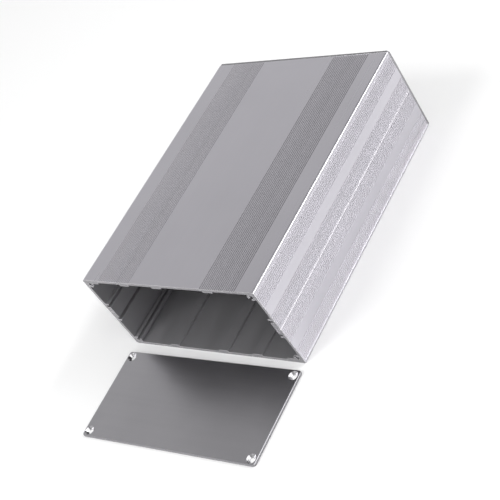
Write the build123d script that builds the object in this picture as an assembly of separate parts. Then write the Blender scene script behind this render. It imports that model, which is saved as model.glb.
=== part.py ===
from build123d import *
import os

os.makedirs("parts", exist_ok=True)

# Millimetres, +Z up. The closed box stands along Y with its open end towards -Y.
# The origin is the middle of the underside. Left is -X and right is +X.

# Outside of the closed box, rear panel included
width = 145.0
height = 68.0
length = 200.0
corner_r = 2.0

# Extruded wall
wall = 2.2

# Fine grooves along the outside
groove_pitch = 1.5
groove_mouth = 0.9
groove_floor = 0.4
groove_depth = 0.42
top_band_width = 27.9
top_band_offset = 43.75
side_band_width = 11.4
side_band_depths = (8.0, 27.4)

# Flat pads under the top wall, each as an offset from the middle
pad_offsets = (-35.5, -7.5, 35.0)
pad_width = 7.8
pad_rise = 1.4
pad_round = 0.3

# Shelf between the left screw port and the open middle
shelf_end = 13.5

# Screw ports in the corners
port_inset = 4.5
port_hole_r = 1.3
port_wall = 1.7
port_slit = 1.5

# Card guides on each side wall: a boss at the seam, a slot, then a tongue
boss_height = 5.6
boss_reach = 4.7
boss_round = 0.8
card_slot = 1.9
tongue_thick = 1.4
tongue_reach = 5.0
tongue_round = 0.4

# Sliding joint between the two shells
bead_r = 1.0
neck_width = 1.0
bead_inset = 2.6
bead_drop = 2.1
slide_clearance = 0.3
seam_chamfer = 0.5

# End panels
panel_thick = 2.0
panel_margin = 0.25
panel_arris = 0.25
panel_land = 0.3

# Countersunk screws of the rear panel
screw_r = 1.45
screw_length = 8.0
screw_tip = 1.0
screw_tip_r = 0.5
thread_relief = 1.0
hole_clearance = 0.25
seat_clearance = 0.05
recess_width = 0.9
recess_span = 3.6
recess_depth = 1.3
recess_taper = 12.0
screw_turns = {"top_left": 20.0, "top_right": 63.0, "bottom_left": 81.0, "bottom_right": 38.0}

# Front panel, taken off and lying on the ground before the open end
loose_gap = 7.5
loose_shift = 1.3
loose_turn = 0.8

# Sizes that follow from the ones above
half_height = height / 2
shell_length = length - panel_thick
shell_rear = length / 2 - panel_thick
port_pitch_x = width - 2 * port_inset
port_pitch_z = height - 2 * port_inset
panel_width = width - 2 * panel_margin
panel_height = height - 2 * panel_margin
hole_r = screw_r + hole_clearance
sink_r = hole_r + panel_thick - panel_land
head_r = sink_r - seat_clearance
thread_r = screw_r + seat_clearance
thread_depth = screw_length - panel_thick + thread_relief

# Blocks that stand on a wall start this deep in it, and cuts run this far past a face
sunk = wall / 2
past = 1.0


def groove(at, turn):
    # One tapered groove, drawn with its mouth on the local x axis and open above it
    cut = Polygon(
        (-groove_floor / 2, -groove_depth),
        (groove_floor / 2, -groove_depth),
        (groove_mouth / 2, 0),
        (groove_mouth / 2, past),
        (-groove_mouth / 2, past),
        (-groove_mouth / 2, 0),
        align=None,
    )
    return Pos(*at) * Rot(0, 0, turn) * cut


def band(band_width, centre):
    # Places of as many grooves as fill a band, even about its centre
    gaps = round((band_width - groove_mouth) / groove_pitch)
    return [centre + (i - gaps / 2) * groove_pitch for i in range(gaps + 1)]


def outside_grooves():
    # Two bands on the top wall and two on each side wall
    cuts = []
    for side, turn in ((-1, 90), (1, -90)):
        for x in band(top_band_width, side * top_band_offset):
            cuts.append(groove((x, half_height), 0))
        for depth in side_band_depths:
            for y in band(side_band_width, half_height - depth):
                cuts.append(groove((side * width / 2, y), turn))
    return cuts


def side_block(side, low, high, reach, rounding):
    # A rounded block on a side wall, its back sunk in the wall
    block = RectangleRounded(reach - wall + sunk, high - low, rounding)
    x = side * (width / 2 - (reach + wall - sunk) / 2)
    return Pos(x, (low + high) / 2) * block


def roof_block(left, right):
    # A rounded pad under the top wall, its back sunk in the wall
    block = RectangleRounded(right - left, pad_rise + sunk, pad_round)
    return Pos((left + right) / 2, half_height - wall - (pad_rise - sunk) / 2) * block


def port_centre(side):
    return Pos(side * port_pitch_x / 2, port_pitch_z / 2)


def port_body(side):
    # The round port, filled out into the corner of the walls
    fill = port_inset - sunk
    corner = Pos(side * fill / 2, fill / 2) * Rectangle(fill, fill)
    return port_centre(side) * (Circle(port_hole_r + port_wall) + corner)


def port_cut(side):
    # The screw hole, and the slit that opens it towards the middle of the box
    slit_length = port_hole_r + port_wall + past
    slit = Pos(0, -slit_length / 2) * Rectangle(port_slit, slit_length)
    return port_centre(side) * (Circle(port_hole_r) + Rot(0, 0, -45 * side) * slit)


def slide_shape(side, y, clearance):
    # A round bead on a narrow neck that starts at the seam, at the given height
    x = side * (width / 2 - bead_inset)
    neck = Pos(x, y / 2) * Rectangle(neck_width + 2 * clearance, abs(y))
    return Pos(x, y) * Circle(bead_r + clearance) + neck


def seam_chamfers():
    # Bevel on both outer edges of the seam
    side = seam_chamfer * 2 ** 0.5
    return [Pos(s * width / 2, 0) * Rot(0, 0, 45) * Rectangle(side, side) for s in (-1, 1)]


def shell_profile():
    # Section of one shell: x across the box, y up from the seam
    outer = Pos(0, half_height / 2) * Rectangle(width, half_height)
    outer = fillet(outer.vertices().group_by(Axis.Y)[-1], corner_r)
    inner_height = half_height - wall
    profile = outer - Pos(0, inner_height / 2) * Rectangle(width - 2 * wall, inner_height)
    profile += [roof_block(x - pad_width / 2, x + pad_width / 2) for x in pad_offsets]
    profile += roof_block(-port_pitch_x / 2, shelf_end - width / 2)
    tongue_low = boss_height + card_slot
    for side in (-1, 1):
        profile += side_block(side, -past, boss_height, boss_reach, boss_round)
        profile += side_block(side, tongue_low, tongue_low + tongue_thick, tongue_reach, tongue_round)
        profile += port_body(side)
    profile -= Pos(0, -past) * Rectangle(width, 2 * past)
    profile -= [port_cut(-1), port_cut(1)]
    profile -= slide_shape(-1, bead_drop, slide_clearance)
    profile -= seam_chamfers()
    profile -= outside_grooves()
    return profile + slide_shape(1, -bead_drop, 0)


def end_panel():
    # Inner face on the ground plane, countersunk face up
    blank = RectangleRounded(panel_width, panel_height, corner_r)
    plate = extrude(blank, panel_thick)
    plate = chamfer(plate.faces().filter_by(Axis.Z).edges(), panel_arris)
    deep = sink_r - hole_r
    hole = Pos(0, 0, panel_thick / 2) * Cylinder(hole_r, panel_thick + 2 * past)
    sink = Pos(0, 0, panel_thick + (past - deep) / 2) * Cone(hole_r, sink_r + past, deep + past)
    for place in GridLocations(port_pitch_x, port_pitch_z, 2, 2):
        plate -= place * (hole + sink)
    return plate


def screw():
    # Head flush with the ground plane, shank down
    cone = head_r - screw_r
    head = Pos(0, 0, -cone / 2) * Cone(screw_r, head_r, cone)
    shank_length = screw_length - cone - screw_tip
    shank = Pos(0, 0, -cone - shank_length / 2) * Cylinder(screw_r, shank_length)
    tip = Pos(0, 0, screw_tip / 2 - screw_length) * Cone(screw_tip_r, screw_r, screw_tip)
    arm = Rectangle(recess_span, recess_width)
    recess = extrude(arm + Rot(0, 0, 90) * arm, -recess_depth, taper=recess_taper)
    return head + shank + tip - recess


def rear_plane(x, y, z):
    # A plane that faces backwards, seen the right way up from behind
    return Plane(origin=(x, y, z), x_dir=(-1, 0, 0), z_dir=(0, 1, 0))


def thread_cuts(z):
    # Where the rear screws have cut their threads in a shell's ports, as plain holes
    cut = Pos(0, 0, (past - thread_depth) / 2) * Cylinder(thread_r, thread_depth + past)
    return [rear_plane(s * port_pitch_x / 2, shell_rear, z) * cut for s in (-1, 1)]


# The upper shell is one length of the section, from the rear panel to the open end
section_plane = Plane(origin=(0, shell_rear, half_height), x_dir=(1, 0, 0), z_dir=(0, -1, 0))
upper_shell = extrude(section_plane * shell_profile(), shell_length)
upper_shell -= thread_cuts(half_height + port_pitch_z / 2)

# The lower shell is the same extrusion, turned half a turn about the box's middle line
middle = Pos(0, 0, half_height)
lower_shell = middle * Rot(0, 180, 0) * Pos(0, 0, -half_height) * upper_shell

# Both end panels are alike. One is fitted at the rear, one lies before the open end.
panel = end_panel()
rear_panel = rear_plane(0, shell_rear, half_height) * panel
loose_y = -length / 2 - loose_gap - panel_height / 2
front_panel = Pos(loose_shift, loose_y, 0) * Rot(0, 0, loose_turn) * panel

nodes = {
    "upper_shell": upper_shell,
    "lower_shell": lower_shell,
    "front_panel": front_panel,
    "rear_panel": rear_panel,
}

# Four screws hold the rear panel on the ports
for row, z in (("top", half_height + port_pitch_z / 2), ("bottom", half_height - port_pitch_z / 2)):
    for hand, x in (("left", -port_pitch_x / 2), ("right", port_pitch_x / 2)):
        place = f"{row}_{hand}"
        seat = rear_plane(x, length / 2, z)
        nodes[f"rear_screw_{place}"] = seat * Rot(0, 0, screw_turns[place]) * screw()

for name, shape in nodes.items():
    export_step(shape, f"parts/{name}.step")
    box = shape.bounding_box()
    print(name, len(shape.solids()), "solid", [round(v, 2) for v in (*box.min, *box.max)])
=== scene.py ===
# %% [markdown]
# # An extruded aluminium enclosure
#
# This scene dresses a finished construction model. The box is two alike aluminium
# extrusions that slide together, with a sheet panel screwed on the rear end. The front
# panel is off and lies on the ground before the open end. The construction model comes in
# as a fixed frame, and every piece here is made at the place that the frame gives.

# %% Load the frame
import math

import bpy
from mathutils import Euler, Matrix, Vector


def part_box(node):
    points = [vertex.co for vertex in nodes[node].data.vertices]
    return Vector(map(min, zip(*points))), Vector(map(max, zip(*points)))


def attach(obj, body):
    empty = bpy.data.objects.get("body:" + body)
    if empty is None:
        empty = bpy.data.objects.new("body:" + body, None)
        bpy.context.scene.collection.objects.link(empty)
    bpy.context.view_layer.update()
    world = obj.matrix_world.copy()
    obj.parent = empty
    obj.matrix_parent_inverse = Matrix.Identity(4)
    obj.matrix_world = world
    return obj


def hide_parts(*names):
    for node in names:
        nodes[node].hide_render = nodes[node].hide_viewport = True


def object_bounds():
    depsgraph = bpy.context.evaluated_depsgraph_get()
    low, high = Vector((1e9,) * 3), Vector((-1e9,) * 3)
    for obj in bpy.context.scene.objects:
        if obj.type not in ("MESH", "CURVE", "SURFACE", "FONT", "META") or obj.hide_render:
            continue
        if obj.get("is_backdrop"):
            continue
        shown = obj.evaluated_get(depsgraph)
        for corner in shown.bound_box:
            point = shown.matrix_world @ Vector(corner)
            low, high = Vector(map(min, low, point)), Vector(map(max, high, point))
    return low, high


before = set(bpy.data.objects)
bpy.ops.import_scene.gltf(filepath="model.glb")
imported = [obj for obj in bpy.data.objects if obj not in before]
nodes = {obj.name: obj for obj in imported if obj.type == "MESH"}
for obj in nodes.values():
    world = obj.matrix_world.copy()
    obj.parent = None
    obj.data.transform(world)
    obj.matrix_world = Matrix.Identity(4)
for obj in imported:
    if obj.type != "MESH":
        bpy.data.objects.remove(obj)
cad_low, cad_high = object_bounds()
MM = 0.001
shell_low, shell_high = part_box("lower_shell")
front, rear = shell_low.y, shell_high.y
half_width = shell_high.x
middle_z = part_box("upper_shell")[1].z / 2
print("box", [round(v / MM, 1) for v in (2 * half_width, rear - front, 2 * middle_z)], "mm")

# %% [markdown]
# ## The camera
#
# The picture was taken with a fairly long lens from above the right front corner, and the
# camera was rolled so that the box stands across the frame on its corner. A camera can be
# placed by hand until its outline matches, but here the box is a known size, so its
# corners in the picture give the place, the turn and the lens directly. The small shift
# is the picture's own framing.

# %% Place the camera
camera_place = (0.52788, -0.41803, 0.51160)
camera_turn = (46.505, 29.322, 30.874)
camera_data = bpy.data.cameras.new("camera")
camera_data.lens = 89.85
camera_data.sensor_width = 36.0
camera_data.shift_x = 0.059
camera_data.shift_y = 0.042
camera_data.clip_start = 0.02
camera_data.clip_end = 20.0
camera = bpy.data.objects.new("camera", camera_data)
camera.location = camera_place
camera.rotation_euler = Euler([math.radians(a) for a in camera_turn])
bpy.context.scene.collection.objects.link(camera)
bpy.context.scene.camera = camera
print("camera at", camera_place, "lens", round(camera_data.lens, 2), "mm")

# %% [markdown]
# ## Building materials from nodes
#
# Each finish below is a small network of nodes. Wiring nodes by hand in code is wordy, so
# a few helpers come first. One adds a node and sets its values, one does a sum, and one
# starts a node group with named inputs and outputs. A group is a pattern that is built
# once and then placed in several finishes, each with its own values.

# %% Helpers for nodes


def put(tree, socket, value):
    # An output is linked to the input, and a plain value is typed in
    if isinstance(value, bpy.types.NodeSocket):
        tree.links.new(value, socket)
    else:
        socket.default_value = value


def add(tree, kind, **values):
    # Add a node. A name that the node has is set on it, any other is an input's.
    node = tree.nodes.new("ShaderNode" + kind)
    for name, value in values.items():
        if hasattr(node, name):
            setattr(node, name, value)
        else:
            put(tree, node.inputs[name.replace("_", " ")], value)
    return node


def calc(tree, operation, a, b=0.0, c=0.0):
    # One Math node, by its place in the sum
    node = tree.nodes.new("ShaderNodeMath")
    node.operation = operation
    for socket, value in zip(node.inputs, (a, b, c)):
        put(tree, socket, value)
    return node.outputs[0]


print("helpers for nodes:", put.__name__, add.__name__, calc.__name__)

# %% Helpers for groups
NUMBER = "NodeSocketFloat"


def new_group(name, inputs, outputs):
    # A node group with named sockets, and its two end nodes
    group = bpy.data.node_groups.new(name, "ShaderNodeTree")
    for title, value in inputs.items():
        socket = group.interface.new_socket(title, in_out="INPUT", socket_type=NUMBER)
        socket.default_value = value
    for title in outputs:
        group.interface.new_socket(title, in_out="OUTPUT", socket_type=NUMBER)
    print("group", name, "takes", list(inputs), "and gives", list(outputs))
    return group, group.nodes.new("NodeGroupInput"), group.nodes.new("NodeGroupOutput")


def use(tree, group, **values):
    # Place a group in a finish, with its values
    node = tree.nodes.new("ShaderNodeGroup")
    node.node_tree = group
    for name, value in values.items():
        put(tree, node.inputs[name.replace("_", " ")], value)
    return node.outputs


print("every socket of a group is a", NUMBER)

# %% [markdown]
# ## Drawn lines
#
# Metal that is pushed through a die or between rollers comes out with fine straight lines
# the way it moved. They could be painted in a picture, but a picture has an edge and a
# size. A noise pattern that is squeezed across the lines and stretched along them has
# neither. The same group draws the die lines of the extrusions, which run along the box,
# and the faint rolling lines of the sheet, which run across it. It gives a fine height for
# the bump and a broad streak for the shine.

# %% Group of drawn lines
drawn_lines, inside, outside = new_group(
    "drawn_lines",
    {"Per Metre": 1500.0, "Stretch X": 1.0, "Stretch Y": 0.02, "Stretch Z": 1.0},
    ("Height", "Streak"),
)
place = add(drawn_lines, "TexCoord").outputs["Object"]
stretch = add(
    drawn_lines,
    "CombineXYZ",
    X=inside.outputs["Stretch X"],
    Y=inside.outputs["Stretch Y"],
    Z=inside.outputs["Stretch Z"],
)
squeezed = drawn_lines.nodes.new("ShaderNodeVectorMath")
squeezed.operation = "MULTIPLY"
put(drawn_lines, squeezed.inputs[0], place)
put(drawn_lines, squeezed.inputs[1], stretch.outputs[0])
fine_lines = add(
    drawn_lines,
    "TexNoise",
    Vector=squeezed.outputs[0],
    Scale=inside.outputs["Per Metre"],
    Detail=3.0,
    Roughness=0.6,
)
broad_lines = add(
    drawn_lines,
    "TexNoise",
    Vector=squeezed.outputs[0],
    Scale=calc(drawn_lines, "MULTIPLY", inside.outputs["Per Metre"], 0.12),
    Detail=2.0,
    Roughness=0.5,
)
put(drawn_lines, outside.inputs["Height"], fine_lines.outputs["Fac"])
put(drawn_lines, outside.inputs["Streak"], broad_lines.outputs["Fac"])
print(drawn_lines.name, "has", len(drawn_lines.nodes), "nodes")

# %% [markdown]
# ## Etched skin
#
# Before aluminium is anodised it is etched in caustic soda, which leaves a fine even
# frosting, like very fine sandpaper. The colour also drifts a little over a length,
# because the bath never works quite evenly. Two noise patterns of very different size give
# both: a grain of about a tenth of a millimetre, and slow clouds some centimetres across.

# %% Group of the etched skin
etched_skin, inside, outside = new_group(
    "etched_skin", {"Grain Per Metre": 9000.0, "Clouds Per Metre": 14.0}, ("Height", "Cloud")
)
place = add(etched_skin, "TexCoord").outputs["Object"]
grain = add(
    etched_skin,
    "TexNoise",
    Vector=place,
    Scale=inside.outputs["Grain Per Metre"],
    Detail=1.0,
    Roughness=0.5,
)
cloud = add(
    etched_skin,
    "TexNoise",
    Vector=place,
    Scale=inside.outputs["Clouds Per Metre"],
    Detail=4.0,
    Roughness=0.55,
)
put(etched_skin, outside.inputs["Height"], grain.outputs["Fac"])
put(etched_skin, outside.inputs["Cloud"], cloud.outputs["Fac"])
print(etched_skin.name, "has", len(etched_skin.nodes), "nodes")

# %% [markdown]
# ## Tool rings
#
# A saw blade, a countersink and a lathe all leave rings about the middle of their turn.
# The group takes the distance from that middle and turns it into fine ridges, with a
# little noise so that no two ridges are alike. Each finish gives its own distance, so the
# same ridges serve for the wide arcs of the saw and for the small cones of the holes.

# %% Group of the tool rings
tool_rings, inside, outside = new_group(
    "tool_rings", {"Distance": 0.0, "Pitch": 0.0005, "Waver": 0.4}, ("Height", "Band")
)
place = add(tool_rings, "TexCoord").outputs["Object"]
waver = add(tool_rings, "TexNoise", Vector=place, Scale=900.0, Detail=2.0)
turns = calc(tool_rings, "DIVIDE", inside.outputs["Distance"], inside.outputs["Pitch"])
shifted = calc(
    tool_rings, "MULTIPLY_ADD", waver.outputs["Fac"], inside.outputs["Waver"], turns
)
wave = calc(tool_rings, "SINE", calc(tool_rings, "MULTIPLY", shifted, 2 * math.pi))
ring_noise = add(tool_rings, "TexNoise", noise_dimensions="1D", W=turns, Scale=0.35, Detail=3.0)
height = calc(tool_rings, "MULTIPLY_ADD", wave, 0.35, ring_noise.outputs["Fac"])
put(tool_rings, outside.inputs["Height"], height)
put(tool_rings, outside.inputs["Band"], ring_noise.outputs["Fac"])
print(tool_rings.name, "has", len(tool_rings.nodes), "nodes")

# %% [markdown]
# ## The finishes
#
# The whole object is metal. What sets its finishes apart is how bright, how smooth and
# how marked each one is, so they all start from the same metal and differ in their colour,
# roughness and bump. A pattern seldom reaches 0 or 1, so the helper that spreads it
# between two values works from 0.3 to 0.7.

# %% Helpers for metals
PATTERN_LOW, PATTERN_HIGH = 0.3, 0.7


def new_metal(name):
    # A finish that is bare metal to start with, and its node tree and shader
    material = bpy.data.materials.new(name)
    material.use_nodes = True
    tree = material.node_tree
    shader = tree.nodes["Principled BSDF"]
    shader.inputs["Metallic"].default_value = 1.0
    print("finish", name)
    return material, tree, shader


def between(tree, fac, low, high):
    # A value that runs from low to high as a pattern does
    spread = add(
        tree,
        "MapRange",
        Value=fac,
        From_Min=PATTERN_LOW,
        From_Max=PATTERN_HIGH,
        To_Min=low,
        To_Max=high,
    )
    return spread.outputs["Result"]


def tint(tree, fac, first, second):
    # A colour that runs from the first to the second as a pattern or a mark does
    mix = tree.nodes.new("ShaderNodeMix")
    mix.data_type = "RGBA"
    put(tree, mix.inputs["Factor"], fac)
    colours = [s for s in mix.inputs if s.type == "RGBA"]
    for socket, value in zip(colours, (first, second)):
        put(tree, socket, value if isinstance(value, bpy.types.NodeSocket) else (*value, 1.0))
    return next(s for s in mix.outputs if s.type == "RGBA")


def bump(tree, shader, height, depth):
    # Depth is the height in metres of a pattern that runs from nought to one
    node = add(tree, "Bump", Strength=1.0, Distance=depth, Height=height)
    put(tree, shader.inputs["Normal"], node.outputs["Normal"])


def read_mark(tree, name):
    # A value that was written on the mesh
    return add(tree, "Attribute", attribute_name=name).outputs["Fac"]


print("a pattern is spread from", PATTERN_LOW, "to", PATTERN_HIGH)

# %% [markdown]
# ## The shell's finish
#
# The extrusions are etched and anodised clear: a pale grey with a touch of violet, silky
# rather than shiny, with faint lines along the box. Three places differ, and the mesh
# carries a mark for each. The grooves and the seam's bevel get painted shade, darkest on
# a groove's floor. The inside gets painted shade too, a darker and greyer colour, and is
# also rougher and less metallic. The rim of the sawn ends is bright, where a deburring
# tool cut through to bare metal.

# %% Colour of the shell
CLEAR_SKIN = (0.585, 0.571, 0.614), (0.635, 0.619, 0.666)
# Painted shade: the grooves and the seam's bevel are mixed toward this darker grey
GROOVE_PAINTED_SHADE = (0.335, 0.325, 0.345)
# Painted shade: the inside of the box is mixed toward this darker grey
INSIDE_PAINTED_SHADE = (0.47, 0.47, 0.475)
BARE_RIM = (0.72, 0.71, 0.73)
shell_metal, tree, shader = new_metal("shell_metal")
lines = use(tree, drawn_lines, Per_Metre=1400.0)
skin = use(tree, etched_skin)
drift = calc(tree, "MULTIPLY", skin["Cloud"], 0.65)
shade = between(tree, calc(tree, "MULTIPLY_ADD", lines["Streak"], 0.35, drift), 0.0, 1.0)
inner = read_mark(tree, "inner")
colour = tint(tree, shade, *CLEAR_SKIN)
# Painted shade in the grooves, deeper ones darker
colour = tint(tree, read_mark(tree, "groove"), colour, GROOVE_PAINTED_SHADE)
# Painted shade inside the box
colour = tint(tree, calc(tree, "MULTIPLY", inner, 0.7), colour, INSIDE_PAINTED_SHADE)
colour = tint(tree, read_mark(tree, "rim"), colour, BARE_RIM)
put(tree, shader.inputs["Base Color"], colour)

# %% Shine and grain of the shell
rough = between(tree, lines["Streak"], 0.27, 0.33)
put(tree, shader.inputs["Roughness"], calc(tree, "MULTIPLY_ADD", inner, 0.15, rough))
put(tree, shader.inputs["Metallic"], calc(tree, "MULTIPLY_ADD", inner, -0.13, 1.0))
fine = calc(tree, "MULTIPLY_ADD", skin["Height"], 0.5, lines["Height"])
bump(tree, shader, fine, 0.004 * MM)
print(shell_metal.name, "has", len(tree.nodes), "nodes")

# %% [markdown]
# ## The sawn ends
#
# Each extrusion is cut to length on a saw after anodising, so its ends are bare and rough.
# A round blade leaves wide arcs about its own middle, which lies outside the wall that it
# cuts. A Mapping node moves the pattern's middle there and flattens it along the box, and
# the length of what comes out is the distance from the blade's middle.

# %% Sawn metal
BARE_CUT = (0.36, 0.355, 0.37), (0.455, 0.45, 0.465)
BLADE_MIDDLE = (0.09, 0.0, 0.11)
sawn_metal, tree, shader = new_metal("sawn_metal")
place = add(tree, "TexCoord").outputs["Object"]
blade = add(tree, "Mapping", Vector=place, Location=BLADE_MIDDLE, Scale=(1.0, 0.0, 1.0))
length = tree.nodes.new("ShaderNodeVectorMath")
length.operation = "LENGTH"
put(tree, length.inputs[0], blade.outputs[0])
rings = use(tree, tool_rings, Distance=length.outputs["Value"], Pitch=0.45 * MM, Waver=0.3)
skin = use(tree, etched_skin, Grain_Per_Metre=5000.0)
colour = tint(tree, between(tree, rings["Band"], 0.0, 1.0), *BARE_CUT)
put(tree, shader.inputs["Base Color"], colour)
put(tree, shader.inputs["Roughness"], between(tree, rings["Band"], 0.60, 0.68))
fine = calc(tree, "MULTIPLY_ADD", skin["Height"], 0.4, rings["Height"])
bump(tree, shader, fine, 0.008 * MM)
print(sawn_metal.name, "has", len(tree.nodes), "nodes")

# %% [markdown]
# ## The sheet's finish
#
# The end panels are rolled sheet, anodised as the shells are, but a shade darker. Their
# rolling lines run across the box, so the same group of drawn lines is stretched the
# other way. The edge all round was sheared, which tears the metal and leaves it dull. The
# arris beside it was broken with a fine file, and is the smoothest place on the sheet.

# %% Sheet metal
SHEET_SKIN = (0.46, 0.452, 0.477), (0.51, 0.501, 0.527)
TORN_EDGE = (0.33, 0.325, 0.34)
panel_metal, tree, shader = new_metal("panel_metal")
lines = use(tree, drawn_lines, Per_Metre=2200.0, Stretch_X=0.01, Stretch_Y=1.0)
skin = use(tree, etched_skin, Clouds_Per_Metre=20.0)
drift = calc(tree, "MULTIPLY", skin["Cloud"], 0.7)
shade = calc(tree, "MULTIPLY_ADD", lines["Streak"], 0.3, drift)
colour = tint(tree, between(tree, shade, 0.0, 1.0), *SHEET_SKIN)
sheared = read_mark(tree, "sheared")
put(tree, shader.inputs["Base Color"], tint(tree, sheared, colour, TORN_EDGE))
rough = calc(tree, "MULTIPLY_ADD", sheared, 0.18, between(tree, shade, 0.30, 0.35))
rough = calc(tree, "MULTIPLY_ADD", read_mark(tree, "arris"), -0.13, rough)
put(tree, shader.inputs["Roughness"], rough)
fine = calc(tree, "MULTIPLY_ADD", skin["Height"], 0.7, lines["Height"])
bump(tree, shader, fine, 0.003 * MM)
print(panel_metal.name, "has", len(tree.nodes), "nodes")

# %% [markdown]
# ## The countersunk holes
#
# The cones are cut after anodising, so they are bare metal that shines, with fine rings
# from the tool. The rings run about each hole, and there are four holes in a panel, so no
# single middle would do. The mesh carries the distance from the nearest hole's axis
# instead, and the rings follow that.

# %% Machined metal
FRESH_CUT = (0.44, 0.435, 0.45), (0.53, 0.525, 0.54)
machined_metal, tree, shader = new_metal("machined_metal")
rings = use(
    tree, tool_rings, Distance=read_mark(tree, "from_axis"), Pitch=0.16 * MM, Waver=0.15
)
colour = tint(tree, between(tree, rings["Band"], 0.0, 1.0), *FRESH_CUT)
put(tree, shader.inputs["Base Color"], colour)
put(tree, shader.inputs["Roughness"], between(tree, rings["Band"], 0.16, 0.26))
bump(tree, shader, rings["Height"], 0.003 * MM)
print(machined_metal.name, "has", len(tree.nodes), "nodes")

# %% [markdown]
# ## The screws' finish
#
# The screws are steel with a thin coat of zinc. Zinc goes on in tiny crystals, so its
# shine is patchy at the scale of a millimetre, from clear grey to faintly yellow. Clouds of
# that size give the patches, and the rings of the heading tool show through the coat.

# %% Plated metal
ZINC = (0.62, 0.62, 0.63), (0.74, 0.73, 0.71)
screw_metal, tree, shader = new_metal("screw_metal")
rings = use(
    tree, tool_rings, Distance=read_mark(tree, "from_axis"), Pitch=0.22 * MM, Waver=0.2
)
skin = use(tree, etched_skin, Clouds_Per_Metre=300.0)
colour = tint(tree, between(tree, skin["Cloud"], 0.0, 1.0), *ZINC)
put(tree, shader.inputs["Base Color"], colour)
put(tree, shader.inputs["Roughness"], between(tree, skin["Cloud"], 0.24, 0.36))
bump(tree, shader, rings["Height"], 0.003 * MM)
print(screw_metal.name, "has", len(tree.nodes), "nodes")

# %% [markdown]
# ## From construction solids to finished pieces
#
# A construction model comes in as loose triangles. Each piece could be modelled anew, but
# the solids already have the right shape, so every piece is a copy of its solid, with the
# triangles merged into clean faces. The copy is then finished and stands for the solid in
# the picture, while the solid itself stays as it is for whoever builds on it.

# %% Copy and merge a solid
SAME_POINT = 0.001 * MM
SAME_PLANE = math.radians(0.5)


def only(piece):
    # Deselect everything else, so that an operator acts on this piece alone
    bpy.ops.object.select_all(action="DESELECT")
    piece.select_set(True)
    bpy.context.view_layer.objects.active = piece


def merged_copy(node, materials):
    # A copy of a solid with its triangles joined into flat faces
    name = node + "_finished"
    piece = bpy.data.objects.new(name, nodes[node].data.copy())
    bpy.context.scene.collection.objects.link(piece)
    piece.data.name = name
    piece.data.materials.clear()
    for material in materials:
        piece.data.materials.append(material)
    only(piece)
    bpy.ops.mesh.customdata_custom_splitnormals_clear()
    bpy.ops.object.mode_set(mode="EDIT")
    bpy.ops.mesh.select_all(action="SELECT")
    bpy.ops.mesh.remove_doubles(threshold=SAME_POINT)
    bpy.ops.mesh.dissolve_limited(angle_limit=SAME_PLANE)
    bpy.ops.mesh.normals_make_consistent(inside=False)
    bpy.ops.object.mode_set(mode="OBJECT")
    print(name, "merged into", len(piece.data.polygons), "faces")
    return piece


print("solids to copy:", len(nodes))

# %% [markdown]
# ## Softening only what is sharp
#
# The shells come with knife-sharp edges, and real ones are never that sharp: a die leaves
# a tiny radius along each rib, and a saw cut is deburred. Those small rounds catch the
# light as thin bright lines, and without them metal looks like card. A bevel on every edge
# would also cut up the round ports, where neighbouring faces barely turn, so the angle at
# each edge is measured first. Only a sharp one gets a weight, which is the width that its
# place asks for as a share of the widest, and one Bevel modifier makes them all at once.
# The panels need none of this, because their arris is part of the solid.

# %% Soften the edges
LEAST_SHARP = 30


def edge_angles(mesh):
    # How much the two faces at each edge turn away from each other, in degrees
    sides = {}
    for face in mesh.polygons:
        for key in face.edge_keys:
            sides.setdefault(key, []).append(face.normal)
    pairs = (sides[edge.key] for edge in mesh.edges)
    return [math.degrees(p[0].angle(p[1])) if len(p) == 2 else 0.0 for p in pairs]


def soften_edges(piece, width_of):
    # Bevel the sharp edges, each as wide as width_of says of its two ends
    mesh = piece.data
    ends = [[mesh.vertices[i].co for i in edge.vertices] for edge in mesh.edges]
    sharp = [angle > LEAST_SHARP for angle in edge_angles(mesh)]
    widths = [width_of(*e) if s else 0.0 for e, s in zip(ends, sharp)]
    weight = mesh.attributes.new("bevel_weight_edge", "FLOAT", "EDGE")
    weight.data.foreach_set("value", [w / max(widths) for w in widths])
    only(piece)
    bevel = piece.modifiers.new("bevel", "BEVEL")
    bevel.limit_method = "WEIGHT"
    bevel.width = max(widths)
    bevel.segments = 2
    bevel.use_clamp_overlap = False
    bpy.ops.object.modifier_apply(modifier="bevel")
    print(piece.name, sum(w > 0 for w in widths), "edges softened")


print("an edge is sharp when it turns by more than", LEAST_SHARP, "degrees")

# %% [markdown]
# ## Marks, shading and handing over
#
# One finish can look different from place to place when the mesh tells it where it is. A
# mark is a value kept with each face, and costs no picture and no second finish. Shading
# is then smooth over bevels and round walls, while the broad faces keep their own flat
# normals. At the end, the piece is put on the body that it moves with, and its solid is hidden.

# %% Mark, smooth and hand over a piece
SMOOTH_BELOW = math.radians(40)


def mark_faces(piece, name, value_of):
    # Give each face a value that a finish reads, by the face's middle and normal
    values = [float(value_of(face.center, face.normal)) for face in piece.data.polygons]
    mark = piece.data.attributes.new(name, "FLOAT", "FACE")
    mark.data.foreach_set("value", values)
    print(piece.name, name, sum(v > 0 for v in values), "faces marked")


def smooth(piece):
    # Smooth shading over bevels and round walls, with the broad faces kept flat
    only(piece)
    bpy.ops.object.shade_smooth_by_angle(angle=SMOOTH_BELOW)
    piece.modifiers.new("flat faces", "WEIGHTED_NORMAL").keep_sharp = True
    bpy.ops.object.modifier_apply(modifier="flat faces")


def finish_as(piece, node):
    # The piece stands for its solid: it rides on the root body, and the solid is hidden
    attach(piece, "root")
    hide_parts(node)
    print(piece.name, len(piece.data.polygons), "faces")


print("edges below", round(math.degrees(SMOOTH_BELOW)), "degrees are shaded smooth")

# %% [markdown]
# ## The two shells
#
# Both are one length of the same extrusion, the lower one turned over. The die gives
# every long edge a small radius, and the saw's rim is deburred a little wider. The fine
# grooves stay crisp: rounding their many edges costs thousands of faces, and at a
# picture's size it only makes them sparkle. Where an edge lies is enough to say which of
# the three it is.

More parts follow.
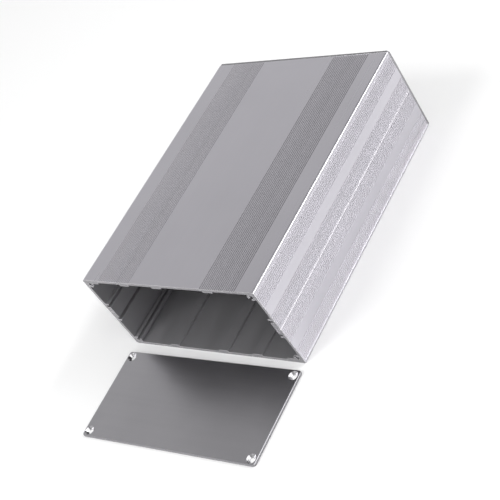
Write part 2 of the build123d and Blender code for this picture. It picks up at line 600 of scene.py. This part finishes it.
# %% Where things are on a shell
DIE_EDGE = 0.05 * MM
SAW_EDGE = 0.2 * MM
GROOVED_SKIN = 0.5 * MM
CORNER = 3.0 * MM
SEAM = 1.0 * MM
HAIR = 0.01 * MM


def from_an_end(y):
    # How far a point is from the nearer sawn end
    return min(abs(y - front), abs(y - rear))


def under_skin(at):
    # How far a point lies in from the side and in from the top or bottom
    return half_width - abs(at.x), middle_z - abs(at.z - middle_z)


def in_groove_band(at):
    # Within the skin that the grooves are cut in, away from the corners and the seam
    from_side, from_top = under_skin(at)
    in_skin = min(from_side, from_top) < GROOVED_SKIN
    return in_skin and max(from_side, from_top) > CORNER and abs(at.z - middle_z) > SEAM


def shell_edge(a, b):
    # The saw's rim is rounded most, a die's edge a little, and the fine grooves stay crisp
    if from_an_end(a.y) < HAIR and abs(a.y - b.y) < HAIR:
        return SAW_EDGE
    return 0.0 if in_groove_band(a) else DIE_EDGE


print("rim", SAW_EDGE / MM, "mm, die edges", DIE_EDGE / MM, "mm")

# %% [markdown]
# ## Marks of a shell
#
# Three marks tell the shell's finish where it is. The groove mark is painted shade that
# grows with depth, so a groove's floor is painted darkest. In the upright sides it is less
# than half as strong. The inner mark covers what faces the inside, where painted shade
# darkens the colour, and the rim mark the deburred edge of the saw cut. Each is a question
# about a face's middle and the way it faces.

# %% Marks of a shell
GROOVE_DEPTH = 0.42 * MM
OUTER_SKIN = 0.02 * MM
WITHIN_WALL = 0.6 * MM
# Painted shade: how strongly the seam's bevel and the grooves are darkened, weaker on the
# upright sides
SEAM_PAINTED_SHADE = 0.75
SIDE_GROOVE_SHADE, TOP_GROOVE_SHADE = 0.4, 1.0
GROOVE_SHADE_CURVE = 0.6
# How much of a face's normal lies along an axis
BARELY, LEANING, HALFWAY, SQUARE = 0.1, 0.3, 0.5, 0.98


def groove_shade_mark(middle, normal):
    # How much painted shade a face gets, from 0 on the outer skin to 1 on the floor of a top
    # groove. The bevel of the seam gets painted shade too.
    from_side, from_top = under_skin(middle)
    depth = min(from_side, from_top)
    at_seam = abs(middle.z - middle_z) < SEAM and depth < WITHIN_WALL
    if at_seam and abs(normal.z) > LEANING:
        return SEAM_PAINTED_SHADE
    if not in_groove_band(middle) or depth < OUTER_SKIN or abs(normal.y) > HALFWAY:
        return 0.0
    shade_strength = SIDE_GROOVE_SHADE if from_side < from_top else TOP_GROOVE_SHADE
    return shade_strength * min(depth / GROOVE_DEPTH, 1.0) ** GROOVE_SHADE_CURVE


def inner_mark(middle, normal):
    # A face that looks into the box or lies within the wall
    return min(under_skin(middle)) > WITHIN_WALL and abs(normal.y) < HALFWAY


def rim_mark(middle, normal):
    # The bevel between a sawn end and the long faces
    return from_an_end(middle.y) < SAW_EDGE and BARELY < abs(normal.y) < SQUARE


in_side_groove = Vector((half_width - GROOVE_DEPTH / 2, 0.0, middle_z / 2))
found = groove_shade_mark(in_side_groove, Vector((1, 0, 0)))
print("halfway down a side groove the mark is", round(found, 2))

# %% Make the two shells
for node in ("upper_shell", "lower_shell"):
    shell = merged_copy(node, (shell_metal, sawn_metal))
    soften_edges(shell, shell_edge)
    mark_faces(shell, "groove", groove_shade_mark)
    mark_faces(shell, "rim", rim_mark)
    mark_faces(shell, "inner", inner_mark)
    for face in shell.data.polygons:
        sawn = from_an_end(face.center.y) < HAIR and abs(face.normal.y) > SQUARE
        face.material_index = int(sawn)
    smooth(shell)
    finish_as(shell, node)

# %% [markdown]
# ## The two end panels
#
# Each is a sheet cut to shape, with four countersunk holes. One is fitted at the rear and
# one lies on the ground, a little turned, so nothing can be found by plain coordinates.
# What does find things is the sheet's own axis, the way that its flat sides face: what
# faces along it is flat, what stands upright to it is sheared or the wall of a hole, and
# what slopes is an arris or a cone. The distance from the nearest hole tells those apart.

# %% Where the holes are
HOLE_PITCH = (136.0 * MM, 59.0 * MM)
HOLE_ZONE = 4.0 * MM
LYING_TURN = math.radians(0.8)


def hole_centres(node):
    # The middles of a panel's four holes and their axis, from the panel's box
    low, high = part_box(node)
    middle = (low + high) / 2
    lying = high.z - low.z < high.y - low.y
    turn = LYING_TURN if lying else 0.0
    centres = []
    for x in (-HOLE_PITCH[0] / 2, HOLE_PITCH[0] / 2):
        for y in (-HOLE_PITCH[1] / 2, HOLE_PITCH[1] / 2):
            along = x * math.cos(turn) - y * math.sin(turn)
            across = x * math.sin(turn) + y * math.cos(turn)
            centres.append(middle + Vector((along, across, 0) if lying else (along, 0, across)))
    return centres, Vector((0, 0, 1) if lying else (0, 1, 0))


def off_axis(point, centres, axis):
    # How far a point is from the axis of the nearest hole
    away = [point - c for c in centres]
    return min((a - axis * a.dot(axis)).length for a in away)


def mark_distance(piece, centres, axis):
    # Give each point its distance from the nearest axis, for the tool's rings
    found = [off_axis(vertex.co, centres, axis) for vertex in piece.data.vertices]
    mark = piece.data.attributes.new("from_axis", "FLOAT", "POINT")
    mark.data.foreach_set("value", found)
    print(piece.name, "reaches", round(max(found) / MM, 1), "mm from an axis")


print("holes", [round(pitch / MM, 1) for pitch in HOLE_PITCH], "mm apart")

# %% Make the two panels
for node in ("front_panel", "rear_panel"):
    panel = merged_copy(node, (panel_metal, machined_metal))
    centres, axis = hole_centres(node)
    mark_distance(panel, centres, axis)

    def at_a_hole(middle):
        return off_axis(middle, centres, axis) < HOLE_ZONE

    def sheared_mark(middle, normal):
        return abs(normal.dot(axis)) < HALFWAY and not at_a_hole(middle)

    def arris_mark(middle, normal):
        return HALFWAY < abs(normal.dot(axis)) < SQUARE and not at_a_hole(middle)

    mark_faces(panel, "sheared", sheared_mark)
    mark_faces(panel, "arris", arris_mark)
    for face in panel.data.polygons:
        flat = abs(face.normal.dot(axis)) > SQUARE
        face.material_index = int(at_a_hole(face.center) and not flat)
    smooth(panel)
    finish_as(panel, node)

# %% [markdown]
# ## The rear screws
#
# Four countersunk screws hold the rear panel, each turned as the hand left it. Their
# heads lie flush with the sheet, and the recess, the cone and the shank come from the
# construction solid. A screw's rings run about its own axis, which goes through the middle
# of its box.

# %% Make the rear screws
for node in sorted(n for n in nodes if n.startswith("rear_screw")):
    screw = merged_copy(node, (screw_metal,))
    low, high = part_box(node)
    mark_distance(screw, [(low + high) / 2], Vector((0, 1, 0)))
    smooth(screw)
    finish_as(screw, node)

# %% [markdown]
# ## The floor
#
# The object stands on a plain white ground. A very big plane does for that, so that its
# edge is never seen, and it is marked as the stage, which isn't part of the object. The
# floor does more than fill the picture: the metal mirrors it, and the upright right side
# is as bright as it is because it mirrors the white ground.

# %% Floor
FLOOR_SIZE = 12.0
NEARLY_WHITE = (0.96, 0.96, 0.96, 1.0)
bpy.ops.object.select_all(action="DESELECT")
bpy.ops.mesh.primitive_plane_add(size=FLOOR_SIZE, location=(0, 0, 0))
floor = bpy.context.object
floor.name = "floor"
floor_paint = bpy.data.materials.new("floor_paint")
floor_paint.use_nodes = True
floor_shader = floor_paint.node_tree.nodes["Principled BSDF"]
floor_shader.inputs["Base Color"].default_value = NEARLY_WHITE
floor_shader.inputs["Roughness"].default_value = 0.8
floor.data.materials.append(floor_paint)
floor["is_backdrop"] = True
print("floor", [round(v, 2) for v in floor.dimensions], "m")

# %% [markdown]
# ## The surround
#
# Metal has hardly any colour of its own, so what it shows is its surroundings. Small
# products are often photographed in a tent of white cloth, and this is such a tent, drawn
# as a ramp of greys from the horizon to straight overhead. It is brightest low down, which
# lifts the ground to white. A light even grey follows, which the top of the box mirrors.
# Higher up comes a darker band: the lying panel mirrors the border between the two, and so
# runs from light on its left to dark on its right.

# %% Surround
bpy.context.scene.view_settings.view_transform = "Standard"
TENT = ((0.0, 1.2), (0.15, 0.71), (0.59, 0.71), (0.73, 0.26), (0.88, 0.50))
world = bpy.data.worlds.new("studio")
world.use_nodes = True
tree = world.node_tree
way = add(tree, "SeparateXYZ", Vector=add(tree, "TexCoord").outputs["Generated"]).outputs
tent = add(tree, "ValToRGB", Fac=way["Z"])
tent.color_ramp.interpolation = "EASE"
for height, _ in TENT[1:-1]:
    tent.color_ramp.elements.new(height)
for stop, (height, grey) in zip(tent.color_ramp.elements, TENT):
    stop.position = height
    stop.color = (grey, grey, grey, 1.0)
backdrop = tree.nodes["Background"]
backdrop.inputs["Color"].default_value = (1.0, 1.0, 1.0, 1.0)
put(tree, backdrop.inputs["Strength"], tent.outputs["Color"])
bpy.context.scene.world = world
print("surround", [(round(math.degrees(math.asin(z))), grey) for z, grey in TENT])

# %% [markdown]
# ## The soft boxes
#
# Three soft boxes shape what the tent leaves flat. The corner box stands behind the right
# side, where the camera sees it only in the rounded long corner, and draws the bright line
# there. The front box stands high at the front left and faces the open end, so that the
# pads inside have a light and a dark side. The right box is the largest. It lights the
# ground beside the box, and the lying panel's right arris catches it as a thin light line.
# The last two are wide, so that the grooves stay grey where another view mirrors them.

# %% Soft boxes
AIM = Vector((0, 0, 0.05))


def softbox(name, place, size, watts, along=(1, 0, 0)):
    # A soft box that faces the box's middle, with its width along a given way
    light = bpy.data.lights.new(name, "AREA")
    light.shape = "RECTANGLE"
    light.size, light.size_y = size
    light.energy = watts
    lamp = bpy.data.objects.new(name, light)
    lamp.location = place
    back = (Vector(place) - AIM).normalized()
    across = (Vector(along) - back * back.dot(Vector(along))).normalized()
    lamp.rotation_euler = Matrix((across, back.cross(across), back)).transposed().to_euler()
    bpy.context.scene.collection.objects.link(lamp)
    print("soft box", name, watts, "W at", place)


softbox("corner", (0.84, 0.82, 1.09), (0.7, 0.2), 5.8, along=(0, 1, 0))
softbox("front", (-0.75, -1.35, 1.7), (1.0, 0.7), 18.0)
softbox("right", (1.3, -0.15, 1.65), (2.2, 1.1), 15.5, along=(0, 1, 0))

# %% [markdown]
# ## Sizes
#
# Finishing must not change the size of a part that others will build on. Bevels only take
# metal away, so the box round all the finished pieces should be the box that the
# construction model came with. Both are measured, kept in a table and printed.

# %% Sizes and finish
seen_low, seen_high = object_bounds()
sizes = {
    "cad": [list(cad_low), list(cad_high)],
    "seen": [list(seen_low), list(seen_high)],
}
for name, (low, high) in sizes.items():
    print(name, [round((b - a) / MM, 2) for a, b in zip(low, high)], "mm")
